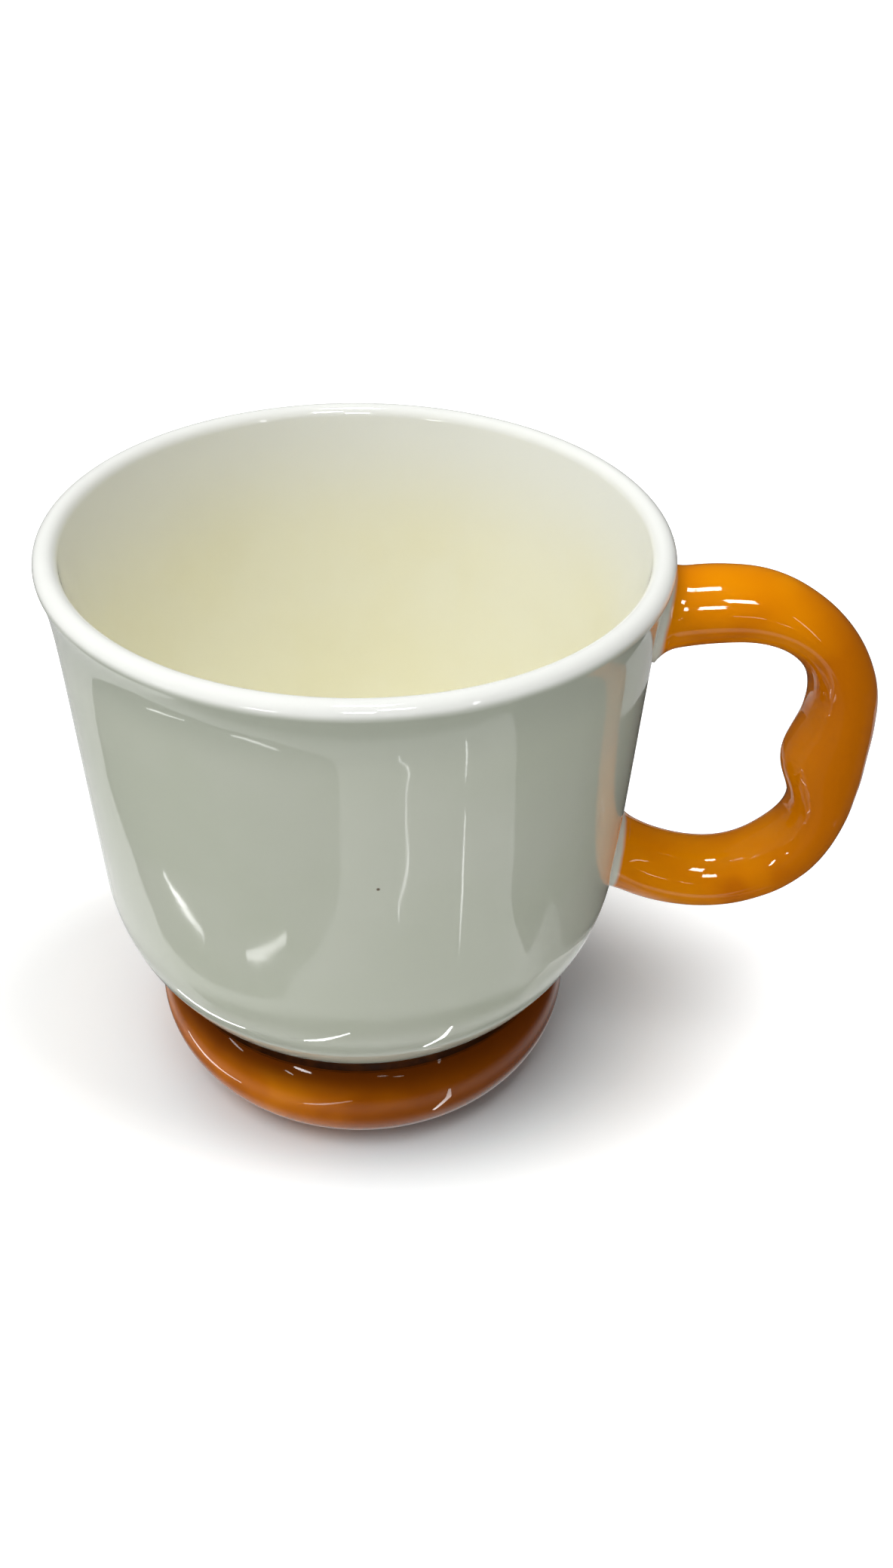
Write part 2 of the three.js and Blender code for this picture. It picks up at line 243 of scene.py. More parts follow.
class Shape:
    """A Geometry Nodes tree with named inputs, run on a source mesh and kept as a plain mesh."""

    def __init__(self, name: str, inputs: dict[str, str]) -> None:
        """Makes the tree with its inputs.

        Args:
            name: Name of the tree.
            inputs: Input names and their socket types.
        """
        self.tree = bpy.data.node_groups.new(name, "GeometryNodeTree")
        self.nodes = Nodes(self.tree)
        face = self.tree.interface
        face.new_socket("Geometry", in_out="OUTPUT", socket_type="NodeSocketGeometry")
        face.new_socket("Geometry", in_out="INPUT", socket_type="NodeSocketGeometry")
        self.places = {
            label: face.new_socket(label, in_out="INPUT", socket_type=kind).identifier
            for label, kind in inputs.items()
        }
        self.given = self.nodes.add("NodeGroupInput").outputs

    def sampled(self, row: Any, value: Any, kind: str) -> Socket:
        """Reads a field of the source mesh at a point's number."""
        inputs = {"Geometry": self.given["Geometry"], "Value": value, "Index": row}
        return self.nodes.out("GeometryNodeSampleIndex", inputs, data_type=kind)

    def attribute(self, row: Any, name: str, kind: str) -> Socket:
        """Reads a named attribute of the source mesh at a point's number."""
        named = self.nodes.out("GeometryNodeInputNamedAttribute", {"Name": name}, data_type=kind)
        return self.sampled(row, named, kind)

    def sheet(self, rows: Any, columns: Any) -> tuple[Any, Any, Any]:
        """Adds a flat sheet to be wrapped, with one row for each source point.

        Args:
            rows: Number of rows.
            columns: Number of steps round the shape.

        Returns:
            Sockets of the sheet, of a point's row and of its turn in radians.
        """
        nodes = self.nodes
        across = nodes.math("ADD", columns, 1)
        size = 2 * SHEET_HALF
        inputs = {"Size X": size, "Size Y": size, "Vertices X": rows, "Vertices Y": across}
        grid = nodes.add("GeometryNodeMeshGrid", inputs).outputs["Mesh"]
        place = nodes.parts(nodes.out("GeometryNodeInputPosition"))
        along = nodes.math("ADD", place["X"], SHEET_HALF)
        row = nodes.math("ROUND", nodes.math("MULTIPLY", along, nodes.math("SUBTRACT", rows, 1)))
        turn = nodes.math("MULTIPLY", nodes.math("ADD", place["Y"], SHEET_HALF), 4 * QUARTER)
        return grid, row, turn

    def rows(self) -> Socket:
        """Number of points in the source mesh."""
        size = self.nodes.add("GeometryNodeAttributeDomainSize", {0: self.given["Geometry"]})
        return size.outputs["Point Count"]

    def moved(self, mesh: Any, place: Any) -> Socket:
        """Puts a mesh's points at new places and closes its seams.

        Args:
            mesh: Mesh socket.
            place: Socket of the new places.

        Returns:
            Socket of the closed mesh.
        """
        put = self.nodes.out("GeometryNodeSetPosition", {"Geometry": mesh, "Position": place})
        inputs = {"Geometry": put, "Distance": SEAM_MERGE}
        return self.nodes.out("GeometryNodeMergeByDistance", inputs)

    def kept(self, mesh: Any, name: str, value: Any) -> Socket:
        """Stores a number on every point of a mesh."""
        inputs = {"Geometry": mesh, "Name": name, "Value": value}
        return self.nodes.out("GeometryNodeStoreNamedAttribute", inputs, data_type="FLOAT")

    def cut(self, mesh: Any, tool: Any) -> Socket:
        """Cuts a solid away from a mesh."""
        inputs = {"Mesh 1": mesh, "Mesh 2": tool}
        return self.nodes.out("GeometryNodeMeshBoolean", inputs, operation="DIFFERENCE", solver="MANIFOLD")

    def close(self, mesh: Any) -> None:
        """Ends the tree: plain mesh, smooth apart from sharp edges, with its material.

        Args:
            mesh: Mesh socket.
        """
        nodes = self.nodes
        real = nodes.out("GeometryNodeRealizeInstances", {0: mesh})
        smooth = nodes.out("GeometryNodeSetShadeSmooth", {"Geometry": real, "Shade Smooth": True})
        angle = nodes.out("GeometryNodeInputMeshEdgeAngle")
        sharp = nodes.math("GREATER_THAN", angle, SHARP_EDGE)
        inputs = {"Geometry": smooth, "Selection": sharp, "Shade Smooth": False}
        edged = nodes.out("GeometryNodeSetShadeSmooth", inputs, domain="EDGE")
        inputs = {"Geometry": edged, "Material": self.given["Material"]}
        dressed = nodes.out("GeometryNodeSetMaterial", inputs)
        nodes.add("NodeGroupOutput", {0: dressed})

    def make(self, name: str, source: Mesh, sizes: dict[str, Any]) -> Piece:
        """Runs the tree and keeps its result as a plain mesh.

        Args:
            name: Name of the new piece.
            source: Mesh that the tree starts from.
            sizes: Values of the tree's inputs.

        Returns:
            Object with the finished mesh.
        """
        piece = placed(name, source)
        modifier = piece.modifiers.new(self.tree.name, "NODES")
        modifier.node_group = self.tree
        for label, value in sizes.items():
            modifier[self.places[label]] = value
        graph = bpy.context.evaluated_depsgraph_get()
        mesh = bpy.data.meshes.new_from_object(piece.evaluated_get(graph), depsgraph=graph)
        piece.modifiers.clear()
        piece.data = mesh
        mesh.name = name
        bpy.data.meshes.remove(source)
        faces_out(mesh)
        return piece


def faces_out(mesh: Mesh) -> None:
    """Turns the faces of a closed mesh outwards.

    Args:
        mesh: Mesh that is changed.
    """
    work = bmesh.new()
    work.from_mesh(mesh)
    bmesh.ops.recalc_face_normals(work, faces=work.faces)
    work.to_mesh(mesh)
    work.free()


def line_mesh(points: np.ndarray, numbers: dict[str, np.ndarray]) -> Mesh:
    """Makes a mesh of points in a row, with numbers or vectors on them.

    Args:
        points: Places of the points, one row each.
        numbers: Attribute names, each with one number or vector for every point.

    Returns:
        The new mesh.
    """
    mesh = bpy.data.meshes.new("row")
    mesh.from_pydata(points.tolist(), [(i, i + 1) for i in range(len(points) - 1)], [])
    for name, values in numbers.items():
        flat = values.ndim == 1
        attribute = mesh.attributes.new(name, "FLOAT" if flat else "FLOAT_VECTOR", "POINT")
        attribute.data.foreach_set("value" if flat else "vector", values.astype(np.float32).ravel())
    return mesh


def arc(centre: Point, radius: float, start: float, end: float, steps: int) -> np.ndarray:
    """Points along an arc, by its centre as radius and height and its two angles in radians."""
    turn = np.linspace(start, end, steps + 1)
    return np.stack([centre[0] + radius * np.cos(turn), centre[1] + radius * np.sin(turn)], axis=1)


def bezier(points: list[Point], steps: int) -> np.ndarray:
    """Points along a cubic curve.

    Args:
        points: Start, two controls and end.
        steps: Number of steps.

    Returns:
        Array of points.
    """
    share = np.linspace(0, 1, steps + 1)[:, None]
    start, first, second, end = (np.array(p) for p in points)
    back = 1 - share
    return back**3 * start + 3 * back**2 * share * first + 3 * back * share**2 * second + share**3 * end


def turned_shape() -> Shape:
    """Makes the tree that turns a profile of radius and height round the mug's axis.

    Returns:
        Shape that takes a row of points with their distance from the lip.
    """
    shape = Shape("Turned", {
        "Axis X": "NodeSocketFloat", "Turn Steps": "NodeSocketInt", "Material": "NodeSocketMaterial",
    })
    nodes = shape.nodes
    sheet, row, turn = shape.sheet(shape.rows(), shape.given["Turn Steps"])
    marked = shape.kept(sheet, FROM_LIP, shape.attribute(row, FROM_LIP, "FLOAT"))
    place = shape.sampled(row, nodes.out("GeometryNodeInputPosition"), "FLOAT_VECTOR")
    profile = nodes.parts(place)
    x = nodes.math("MULTIPLY_ADD", nodes.math("COSINE", turn), profile["X"], shape.given["Axis X"])
    y = nodes.math("MULTIPLY", nodes.math("SINE", turn), profile["X"])
    round_place = nodes.out("ShaderNodeCombineXYZ", {"X": x, "Y": y, "Z": profile["Z"]})
    shape.close(shape.moved(marked, round_place))
    return shape


def swept_shape() -> Shape:
    """Makes the tree that sweeps the handle's section along its middle line and cuts it to the wall.

    Returns:
        Shape that takes a row of stations with the section's sizes on them.
    """
    shape = Shape("Swept", {
        "Section Steps": "NodeSocketInt", "Flare Length": "NodeSocketFloat", "Lump Size": "NodeSocketFloat",
        "Lump Height": "NodeSocketFloat", "Seed": "NodeSocketFloat", "Wall": "NodeSocketObject",
        "Slip End": "NodeSocketObject", "Within": "NodeSocketBool", "Material": "NodeSocketMaterial",
    })
    nodes, given = shape.nodes, shape.given
    sheet, row, turn = shape.sheet(shape.rows(), given["Section Steps"])
    flared = shape.kept(sheet, "flare", shape.attribute(row, "flare", "FLOAT"))
    middle = shape.sampled(row, nodes.out("GeometryNodeInputPosition"), "FLOAT_VECTOR")
    cosine = nodes.math("COSINE", turn)
    outer = nodes.math("GREATER_THAN", cosine, 0)
    sides = {
        "Switch": outer, "False": shape.attribute(row, "inner_half", "FLOAT"),
        "True": shape.attribute(row, "outer_half", "FLOAT"),
    }
    half = nodes.out("GeometryNodeSwitch", sides, input_type="FLOAT")
    outward = shape.attribute(row, "outward", "FLOAT_VECTOR")
    reach = nodes.scaled(outward, nodes.math("MULTIPLY", cosine, half))
    across = nodes.math("MULTIPLY", nodes.math("SINE", turn), shape.attribute(row, "half_width", "FLOAT"))
    aside = nodes.out("ShaderNodeCombineXYZ", {"Y": across})
    tube = shape.moved(flared, nodes.vector("ADD", nodes.vector("ADD", middle, reach), aside))

    wall = nodes.add("GeometryNodeObjectInfo", {"Object": given["Wall"]}).outputs["Geometry"]
    slip_end = nodes.add("GeometryNodeObjectInfo", {"Object": given["Slip End"]}).outputs["Geometry"]
    distance = nodes.add("GeometryNodeProximity", {0: wall}, target_element="FACES").outputs["Distance"]
    near = nodes.math("SUBTRACT", 1, nodes.math("DIVIDE", distance, given["Flare Length"]))
    swell = nodes.math("POWER", nodes.math("MAXIMUM", near, 0), 2)
    flare = nodes.out("GeometryNodeInputNamedAttribute", {"Name": "flare"}, data_type="FLOAT")
    inputs = {"W": given["Seed"], "Scale": nodes.math("DIVIDE", 1, given["Lump Size"]), "Detail": 1.0}
    noise = nodes.out("ShaderNodeTexNoise", inputs, noise_dimensions="4D")
    lump = nodes.math("MULTIPLY", nodes.math("SUBTRACT", noise, NOISE_MIDDLE), given["Lump Height"])
    proud = nodes.math("ADD", nodes.math("MULTIPLY", swell, flare), lump)
    normal = nodes.out("GeometryNodeInputNormal")
    inputs = {"Geometry": tube, "Offset": nodes.scaled(normal, proud)}
    blank = nodes.out("GeometryNodeSetPosition", inputs)

    beyond = shape.cut(blank, slip_end)
    within = nodes.add("GeometryNodeMeshBoolean", operation="INTERSECT", solver="MANIFOLD")
    for part in (shape.cut(blank, wall), slip_end):
        nodes.feed(within.inputs["Mesh 2"], part)
    choice = {"Switch": given["Within"], "False": beyond, "True": within.outputs[0]}
    chosen = nodes.out("GeometryNodeSwitch", choice, input_type="GEOMETRY")
    shape.close(shape.kept(chosen, FROM_WALL, distance))
    return shape


@dataclass(frozen=True)
class GlazeSurface:
    """Gloss and waviness that every glaze here shares."""

    roughness: float = 0.02
    roughness_spread: float = 0.05
    spread_size: float = 7 * MM
    wave_size: float = 14 * MM
    wave_height: float = 0.05 * MM
    peel_size: float = 1.6 * MM
    peel_height: float = 0.002 * MM
    ior: float = 1.5

    def bump(self, nodes: Nodes, place: Any) -> Socket:
        """Adds the waviness of fired glaze.

        Args:
            nodes: Tree of the material.
            place: Coordinates.

        Returns:
            Socket of the normal.
        """
        wave = nodes.math("MULTIPLY", nodes.noise(place, self.wave_size, detail=1.0), self.wave_height)
        peel = nodes.math("MULTIPLY", nodes.noise(place, self.peel_size, detail=1.0), self.peel_height)
        height = nodes.math("ADD", wave, peel)
        inputs = {"Height": height, "Distance": 1.0, "Strength": 1.0}
        return nodes.out("ShaderNodeBump", inputs)

    def shader(self, nodes: Nodes, place: Any, colour: Any, rough: Any = None) -> None:
        """Ends a material with its glossy surface.

        Args:
            nodes: Tree of the material.
            place: Coordinates.
            colour: Socket of the colour.
            rough: Socket of the roughness, where it isn't the glaze's own.
        """
        if rough is None:
            spread = nodes.noise(place, self.spread_size, detail=3.0)
            rough = nodes.math("MULTIPLY_ADD", spread, self.roughness_spread, self.roughness)
        normal = self.bump(nodes, place)
        inputs = {"Base Color": colour, "Roughness": rough, "IOR": self.ior, "Normal": normal}
        nodes.show(nodes.out("ShaderNodeBsdfPrincipled", inputs))


def new_material(name: str) -> tuple[Material, Nodes, Any]:
    """Makes an empty node material.

    Args:
        name: Name of the material.

    Returns:
        The material, its nodes and the socket of the object's own coordinates.
    """
    material = bpy.data.materials.new(name)
    material.use_nodes = True
    nodes = Nodes(material.node_tree)
    return material, nodes, nodes.add("ShaderNodeTexCoord").outputs["Object"]


@dataclass(frozen=True)
class BowlGlaze:
    """Pale grey-green outside, slightly darker towards the bottom, with painted shade under the lip; cream
    inside, white where the glaze thins over the lip.
    """

    surface: GlazeSurface = field(default_factory=GlazeSurface)
    outside: Colour = tone(197, 201, 186)
    outside_deep: Colour = tone(193, 198, 181)
    # The outside turns slightly darker towards the bottom.
    lower_outside: Colour = tone(193, 198, 183)
    inside: Colour = tone(249, 247, 228)
    inside_deep: Colour = tone(247, 244, 220)
    lip: Colour = tone(243, 244, 239)
    speck: Colour = tone(92, 74, 52)
    patch_size: float = 30 * MM
    mottle: Span = (0.35, 0.65)
    turn_over: Span = (-1 * MM, 2 * MM)
    lip_outer: Span = (2.1 * MM, 3.5 * MM)
    lip_inner: Span = (2.5 * MM, 28 * MM)
    lip_waver: float = 0.6 * MM
    # Painted shade: the outside darkens in a band just under the lip.
    under_lip_shade: Colour = tone(183, 188, 173)
    under_lip_shade_reach: Span = (5 * MM, 16 * MM)
    lower_outside_height: Span = (18 * MM, 40 * MM)
    speck_place: Point3 = (-11.9 * MM, -46.7 * MM, 73.0 * MM)
    speck_reach: Span = (0.15 * MM, 0.4 * MM)

    def material(self) -> Material:
        """Makes the glaze's material.

        Returns:
            The material.
        """
        material, nodes, place = new_material("celadon_glaze")
        from_lip = nodes.stored(FROM_LIP)
        patches = nodes.noise(place, self.patch_size, detail=3.0)
        mottle = nodes.ramp(patches, *self.mottle)
        # Slightly darker towards the bottom.
        lower_outside = nodes.fall(nodes.parts(place)["Z"], *self.lower_outside_height)
        # Painted shade under the lip.
        under_lip_shade = nodes.fall(nodes.math("MULTIPLY", from_lip, -1), *self.under_lip_shade_reach)
        outside = nodes.blend(mottle, self.outside, self.outside_deep)
        outside = nodes.blend(lower_outside, outside, self.lower_outside)
        outside = nodes.blend(under_lip_shade, outside, self.under_lip_shade)
        inside = nodes.blend(mottle, self.inside, self.inside_deep)
        colour = nodes.blend(nodes.ramp(from_lip, *self.turn_over), outside, inside)
        waver = nodes.math("MULTIPLY", nodes.math("SUBTRACT", patches, NOISE_MIDDLE), self.lip_waver)
        outer = nodes.fall(nodes.math("SUBTRACT", waver, from_lip), *self.lip_outer)
        inner = nodes.fall(nodes.math("ADD", waver, from_lip), *self.lip_inner)
        colour = nodes.blend(nodes.math("MINIMUM", outer, inner), colour, self.lip)
        speck = nodes.fall(nodes.distance(place, self.speck_place), *self.speck_reach)
        colour = nodes.blend(speck, colour, self.speck)
        self.surface.shader(nodes, place, colour)
        return material


@dataclass(frozen=True)
class AmberGlaze:
    """Glossy amber that shades to brown, with painted shade that darkens it towards +X, and a pale line
    where it meets the bowl's glaze.
    """

    name: str
    surface: GlazeSurface = field(default_factory=lambda: GlazeSurface(ior=1.42))
    bright: Colour = tone(234, 142, 1)
    middle: Colour = tone(226, 132, 1)
    deep: Colour = tone(206, 112, 2)
    # Painted shade: the amber turns browner towards +X.
    side_shade: Colour = tone(194, 106, 1)
    side_shade_reach: Span = (49 * MM, 64 * MM)
    pale: Colour = tone(216, 216, 204)
    patch_size: float = 19 * MM
    deep_mottle: Span = (0.34, 0.5)
    bright_mottle: Span = (0.48, 0.66)
    line_reach: Span = (0.9 * MM, 1.8 * MM)
    line_waver: float = 0.8 * MM
    waver_size: float = 7 * MM

    def material(self) -> Material:
        """Makes the glaze's material.

        Returns:
            The material.
        """
        material, nodes, place = new_material(self.name)
        colour = self.body(nodes, place)
        waver = nodes.math("SUBTRACT", nodes.noise(place, self.waver_size), NOISE_MIDDLE)
        line = nodes.math("MULTIPLY_ADD", waver, self.line_waver, nodes.stored(FROM_WALL))
        colour = nodes.blend(nodes.ramp(line, *self.line_reach), self.pale, colour)
        self.surface.shader(nodes, place, colour)
        return material

    def body(self, nodes: Nodes, place: Any) -> Socket:
        """Adds the mottled amber, with painted shade that darkens it towards +X.

        Args:
            nodes: Tree of the material.
            place: Coordinates.

        Returns:
            Socket of the colour.
        """
        patches = nodes.noise(place, self.patch_size)
        colour = nodes.blend(nodes.ramp(patches, *self.deep_mottle), self.deep, self.middle)
        colour = nodes.blend(nodes.ramp(patches, *self.bright_mottle), colour, self.bright)
        # Painted shade towards +X.
        return nodes.blend(nodes.ramp(nodes.parts(place)["X"], *self.side_shade_reach), colour, self.side_shade)


@dataclass(frozen=True)
class FootGlaze(AmberGlaze):
    """The amber of the foot: darker than the handle's amber as painted shade, browner towards +X with
    painted shade, browner by the bowl with painted shade of the hollow where the glaze also pools, and bare
    clay where it stands.
    """

    surface: GlazeSurface = field(default_factory=lambda: GlazeSurface(ior=1.25))
    # Painted shade: a darker copy of the handle's amber, for the foot under the bowl.
    bright: Colour = tone(214, 124, 3)
    middle: Colour = tone(198, 108, 3)
    deep: Colour = tone(174, 90, 4)
    # Painted shade: browner towards +X.
    side_shade: Colour = tone(124, 60, 2)
    side_shade_reach: Span = (-36 * MM, 14 * MM)
    # Painted shade of the hollow under the bowl, where the glaze also pools.
    by_bowl_shade: Colour = tone(100, 45, 2)
    clay: Colour = tone(214, 196, 164)
    by_bowl_shade_height: Span = (14 * MM, 21 * MM)
    bare_height: float = 0.5 * MM
    bare_fade: float = 0.4 * MM
    clay_roughness: float = 0.8

    def material(self) -> Material:
        """Makes the glaze's material.

        Returns:
            The material.
        """
        material, nodes, place = new_material(self.name)
        height = nodes.parts(place)["Z"]
        colour = self.body(nodes, place)
        # Painted shade by the bowl.
        colour = nodes.blend(nodes.ramp(height, *self.by_bowl_shade_height), colour, self.by_bowl_shade)
        waver = nodes.math("MULTIPLY", nodes.noise(place, self.waver_size), self.bare_fade)
        wavering = nodes.math("ADD", height, waver)
        bare = nodes.fall(wavering, self.bare_height, self.bare_height + self.bare_fade)
        colour = nodes.blend(bare, colour, self.clay)
        grain = nodes.noise(place, self.surface.peel_size)
        rough = nodes.math("MULTIPLY_ADD", grain, self.surface.roughness_spread, self.surface.roughness)
        rough = nodes.math("MAXIMUM", rough, nodes.math("MULTIPLY", bare, self.clay_roughness))
        self.surface.shader(nodes, place, colour, rough)
        return material


@dataclass(frozen=True)
class SlipAndShade:
    """Dark brown slip that shows as a seam above the foot; its darkness is partly painted shade of the
    hollow under the bowl.
    """

    surface: GlazeSurface = field(default_factory=lambda: GlazeSurface(ior=1.12))
    # Partly painted shade: the slip is as dark as the shaded hollow under the bowl.
    dark: Colour = tone(62, 28, 3)
    light: Colour = tone(86, 41, 6)
    patch_size: float = 3 * MM
    mottle: Span = (0.35, 0.7)
    rough_mottle: Span = (0.3, 0.7)
    roughness: Span = (0.45, 0.65)

    def material(self) -> Material:
        """Makes the slip's material.

        Returns:
            The material.
        """
        material, nodes, place = new_material("fired_slip")
        patches = nodes.noise(place, self.patch_size, detail=3.0)
        colour = nodes.blend(nodes.ramp(patches, *self.mottle), self.dark, self.light)
        rough = nodes.ramp(patches, *self.rough_mottle, *self.roughness)
        self.surface.shader(nodes, place, colour, rough)
        return material


@dataclass
class Bowl:
    """Round-bottomed bowl with a leaning wall and a flared, rounded lip."""

    turned: Shape
    lip_thickness: float = 3.8 * MM
    lip_join: float = math.radians(20)
    lip_inner_lean: float = math.radians(6)
    flare_depth: float = 20 * MM
    flare_reach: float = 6 * MM
    wall_lean: float = math.radians(3)
    wall_thickness: float = 4.2 * MM
    belly_radius: float = 46 * MM
    bottom_round: float = 34 * MM
    base_thickness: float = 5.5 * MM
    turn_steps: int = 240
    bottom_steps: int = 48
    wall_steps: int = 60
    lip_steps: int = 24
    glaze: BowlGlaze = field(default_factory=BowlGlaze)

    def __post_init__(self) -> None:
        """Takes the axis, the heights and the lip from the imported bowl."""
        low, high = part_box("bowl")
        self.axis_x: float = (low.x + high.x) / 2
        self.lip_radius: float = (high.x - low.x) / 2
        self.base_height: float = low.z
        self.top: float = high.z
        round_radius = self.lip_thickness / 2
        self.lip_centre: Point = (self.lip_radius - round_radius, self.top - round_radius)
        round_height = self.base_height + self.bottom_round
        self.bottom_centre: Point = (self.belly_radius - self.bottom_round, round_height)

    def wall(self, start: Point, angle: float, turn: int) -> np.ndarray:
        """Points of one face of the wall, from the rounded bottom to the lip's round.

        Args:
            start: Where the wall leaves the rounded bottom.
            angle: Angle on the lip's round where the wall joins it.
            turn: 1 on the outside and -1 on the inside.

        Returns:
            Array of points.
        """
        rise = self.top - self.flare_depth - start[1]
        neck = (start[0] + rise * math.tan(self.wall_lean), start[1] + rise)
        join = arc(self.lip_centre, self.lip_thickness / 2, angle, angle, 0)[0]
        tangent = np.array([-math.sin(angle), math.cos(angle)]) * turn
        return bezier([start, neck, join - tangent * self.flare_reach, join], self.wall_steps)

    def outside(self, beyond: float = 0.0) -> np.ndarray:
        """Outside from the middle of the underside to the top of the lip.

        Args:
            beyond: Distance that the outside is widened by.

        Returns:
            Array of points.
        """
        bottom = arc(self.bottom_centre, self.bottom_round, -QUARTER, -self.wall_lean, self.bottom_steps)
        wall = self.wall(tuple(bottom[-1]), -self.lip_join, 1)
        lip = arc(self.lip_centre, self.lip_thickness / 2, -self.lip_join, QUARTER, self.lip_steps)
        skin = np.concatenate([bottom, wall[1:], lip[1:]])
        return skin + np.array([beyond, 0])

    def inside(self) -> np.ndarray:
        """Inside from just past the top of the lip to the floor.

        Returns:
            Array of points.
        """
        join = math.pi - self.lip_inner_lean
        floor_round = self.bottom_round - self.wall_thickness
        centre = (self.bottom_centre[0], self.base_height + self.base_thickness + floor_round)
        lip = arc(self.lip_centre, self.lip_thickness / 2, QUARTER, join, self.lip_steps)
        floor = arc(centre, floor_round, -self.wall_lean, -QUARTER, self.bottom_steps)
        wall = self.wall(tuple(floor[0]), join, -1)[::-1]
        return np.concatenate([lip[1:], wall[1:], floor[1:]])

    def build(self) -> Piece:
        """Builds and dresses the bowl.

        Returns:
            The bowl.
        """
        outside, inside = self.outside(), self.inside()
        skin = np.concatenate([[(0, outside[0][1])], outside, inside, [(0, inside[-1][1])]])
        along = np.concatenate([[0], np.cumsum(np.linalg.norm(np.diff(skin, axis=0), axis=1))])
        source = profile_mesh(skin, along - along[len(outside)])
        return self.turn("glazed_bowl", source, self.glaze.material())

    def turn(self, name: str, source: Mesh, material: Material | None) -> Piece:
        """Turns a profile of radius and height round the bowl's axis."""
        sizes = {"Axis X": self.axis_x, "Turn Steps": self.turn_steps, "Material": material}
        return self.turned.make(name, source, sizes)

    def filled(self, name: str, beyond: float) -> Piece:
        """Makes a helper solid of the whole bowl, for cutting.

        Args:
            name: Name of the helper.
            beyond: Distance that its outside is widened by.

        Returns:
            The helper solid, kept out of renders.
        """
        skin = self.outside(beyond)
        closed = np.concatenate([[(0, skin[0][1])], skin, [(0, skin[-1][1])]])
        helper = self.turn(name, profile_mesh(closed, np.zeros(len(closed))), None)
        helper.hide_render = True
        return helper


def profile_mesh(skin: np.ndarray, from_lip: np.ndarray) -> Mesh:
    """Source mesh of a turned piece, with each point's distance from the lip along the skin."""
    points = np.stack([skin[:, 0], np.zeros(len(skin)), skin[:, 1]], axis=1)
    return line_mesh(points, {FROM_LIP: from_lip})


@dataclass
class Foot:
    """Fat ring foot and the seam of slip that joins it to the bowl."""

    bowl: Bowl
    swell: float = 15.3 * MM
    flat_depth: float = 1.5 * MM
    standing_width: float = 4.2 * MM
    bore_edge: float = 1.6 * MM
    slip_gap: float = 1.4 * MM
    slip_sink: float = 0.25 * MM
    seam_inset: float = 0.5 * MM
    swell_steps: int = 72
    seat_steps: int = 24
    edge_steps: int = 12
    glaze: FootGlaze = field(default_factory=lambda: FootGlaze("dark_amber_glaze"))
    slip: SlipAndShade = field(default_factory=SlipAndShade)

    def __post_init__(self) -> None:
        """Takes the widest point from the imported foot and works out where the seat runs."""
        low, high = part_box("foot_ring")
        self.radius: float = (high.x - low.x) / 2
        self.seat_round: float = self.bowl.bottom_round + self.slip_gap
        self.centre: Point = (self.radius - self.swell, self.swell - self.flat_depth)
        self.flat_outer: float = self.centre[0] + math.sqrt(self.swell**2 - self.centre[1]**2)
        self.bore: float = self.flat_outer - self.standing_width - self.bore_edge
        self.shoulder: np.ndarray = self.outer_crossing()
        offset = self.shoulder - np.array(self.bowl.bottom_centre)
        self.seat_outer: float = math.atan2(offset[1], offset[0])
        self.seat_inner: float = -math.acos((self.bore - self.bowl.bottom_centre[0]) / self.seat_round)

    def outer_crossing(self) -> np.ndarray:
        """Finds where the seat and the swelling cross, on the outer side.

        Returns:
            Crossing as radius and height.
        """
        first, second = np.array(self.bowl.bottom_centre), np.array(self.centre)
        line = second - first
        distance = np.linalg.norm(line)
        line = line / distance
        along = (self.seat_round**2 - self.swell**2 + distance**2) / (2 * distance)
        across = math.sqrt(self.seat_round**2 - along**2)
        side = np.array([-line[1], line[0]]) * across
        middle = first + line * along
        return max((middle + side, middle - side), key=lambda point: point[0])

    def build(self) -> tuple[Piece, Piece]:
        """Builds and dresses the ring and its seam."""
        return self.ring(), self.seam()

    def ring(self) -> Piece:
        """Builds the fat ring.

        Returns:
            The ring.
        """
        start = math.atan2(-self.centre[1], self.flat_outer - self.centre[0])
        end = math.atan2(self.shoulder[1] - self.centre[1], self.shoulder[0] - self.centre[0])
        swell = arc(self.centre, self.swell, start, end, self.swell_steps)
        middle = self.bowl.bottom_centre
        seat = arc(middle, self.seat_round, self.seat_outer, self.seat_inner, self.seat_steps)
        edge_centre = (self.bore + self.bore_edge, self.bore_edge)
        edge = arc(edge_centre, self.bore_edge, math.pi, 3 * QUARTER, self.edge_steps)
        skin = np.concatenate([swell, seat[1:], edge, swell[:1]])
        return self.bowl.turn("glazed_foot", profile_mesh(skin, np.zeros(len(skin))), self.glaze.material())

    def seam(self) -> Piece:
        """Builds the slip between the bowl and the ring, with a hollow face.

        Returns:
            The seam.
        """
        centre = self.bowl.bottom_centre
        inset = self.seam_inset / self.seat_round
        inner = self.bowl.bottom_round - self.slip_sink
        outer = self.seat_round + self.slip_sink
        under = arc(centre, outer, self.seat_inner + inset, self.seat_outer, self.seat_steps)
        face = arc(centre, (inner + outer) / 2, self.seat_outer - inset, self.seat_outer - inset, 0)
        over = arc(centre, inner, self.seat_outer, self.seat_inner + inset, self.seat_steps)
        skin = np.concatenate([under, face, over, under[:1]])
        return self.bowl.turn("slip_seam", profile_mesh(skin, np.zeros(len(skin))), self.slip.material())


@dataclass(frozen=True)
class Bend:
    """Part of a line that follows a circle."""

    centre: Point
    radius: float
    start: float
    end: float

    @property
    def length(self) -> float:
        """Length along the circle."""
        return self.radius * abs(self.end - self.start)

    def at(self, distance: np.ndarray) -> tuple[np.ndarray, np.ndarray]:
        """Places and outward directions along the bend, which turns clockwise.

        Args:
            distance: Distances from its start.

        Returns:
            Points and unit vectors that point left of the way along.
        """
        turn = self.start - distance / self.radius
        outward = np.stack([np.cos(turn), np.sin(turn)], axis=1)
        return np.array(self.centre) + self.radius * outward, outward


